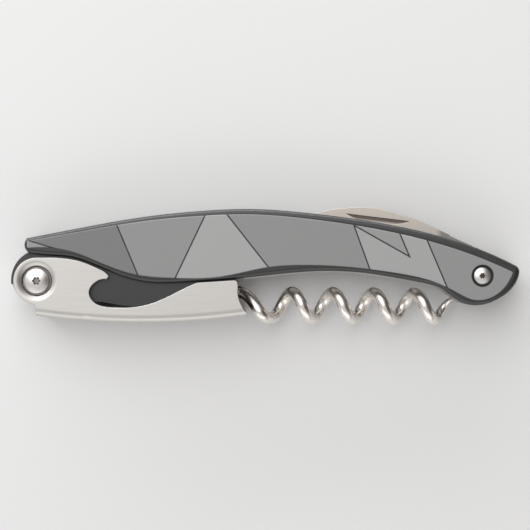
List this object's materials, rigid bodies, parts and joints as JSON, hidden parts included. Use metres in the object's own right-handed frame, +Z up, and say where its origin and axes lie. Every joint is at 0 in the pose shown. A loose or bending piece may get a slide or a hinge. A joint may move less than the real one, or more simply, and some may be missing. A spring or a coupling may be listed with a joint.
{
  "type": "waiters corkscrew",
  "caption": "Folding waiter's corkscrew with an arched two-shell grip, a bent-steel lever with bottle opener and foot, a helical worm and a foil knife, folded shut and lying on its side.",
  "frame": {"origin": "under the middle of the folded corkscrew's box, on the face of the far panel that it lies on", "axes": "+X from the lever's hinge to the knife's hinge, +Y towards the knife's back, +Z up through the grip's thickness"},
  "size_m": [0.1204, 0.0282, 0.0136],
  "materials": {
    "handle_plastic": "satin moulded charcoal",
    "panel_plastic": "satin print in plain facets of grey",
    "inner_steel": "fine ground",
    "fastener_steel": "polished",
    "washer_brass": "rolled sheet",
    "lever_steel": "brushed along its length",
    "worm_chrome": "polished plate",
    "blade_steel": "fine ground"
  },
  "bodies": {
    "handle": {"near_shell": "handle_plastic", "far_shell": "handle_plastic", "near_panel": "panel_plastic", "far_panel": "panel_plastic", "near_liner": "inner_steel", "far_liner": "inner_steel", "centre_spacer": "handle_plastic", "back_spring": "inner_steel", "spring_rivets": "fastener_steel", "knife_stop_pin": "fastener_steel", "lever_pivot_screw": "fastener_steel", "lever_pivot_sleeve": "fastener_steel", "lever_washers": "washer_brass", "knife_pivot_screw": "fastener_steel", "knife_pivot_sleeve": "fastener_steel", "knife_washers": "washer_brass", "worm_pin": "fastener_steel"},
    "lever": {"lever": "lever_steel"},
    "worm": {"worm": "worm_chrome"},
    "knife": {"knife_blade": "blade_steel"}
  },
  "joints": [
    {"name": "lever_swing", "type": "hinge", "parent": "handle", "child": "lever", "pos_m": [-0.05397, -0.00343, 0.0068], "axis": [0, 0, -1], "range_deg": [0, 150]},
    {"name": "worm_swing", "type": "hinge", "parent": "handle", "child": "worm", "pos_m": [-0.01117, -0.00603, 0.0068], "axis": [0, 0, -1], "range_deg": [0, 90]},
    {"name": "knife_swing", "type": "hinge", "parent": "handle", "child": "knife", "pos_m": [0.05133, -0.00223, 0.0068], "axis": [0, 0, -1], "range_deg": [0, 180]}
  ],
  "couplings": [
    {"joint": "worm_swing", "follows": "lever_swing", "ratio": 0.6}
  ]
}
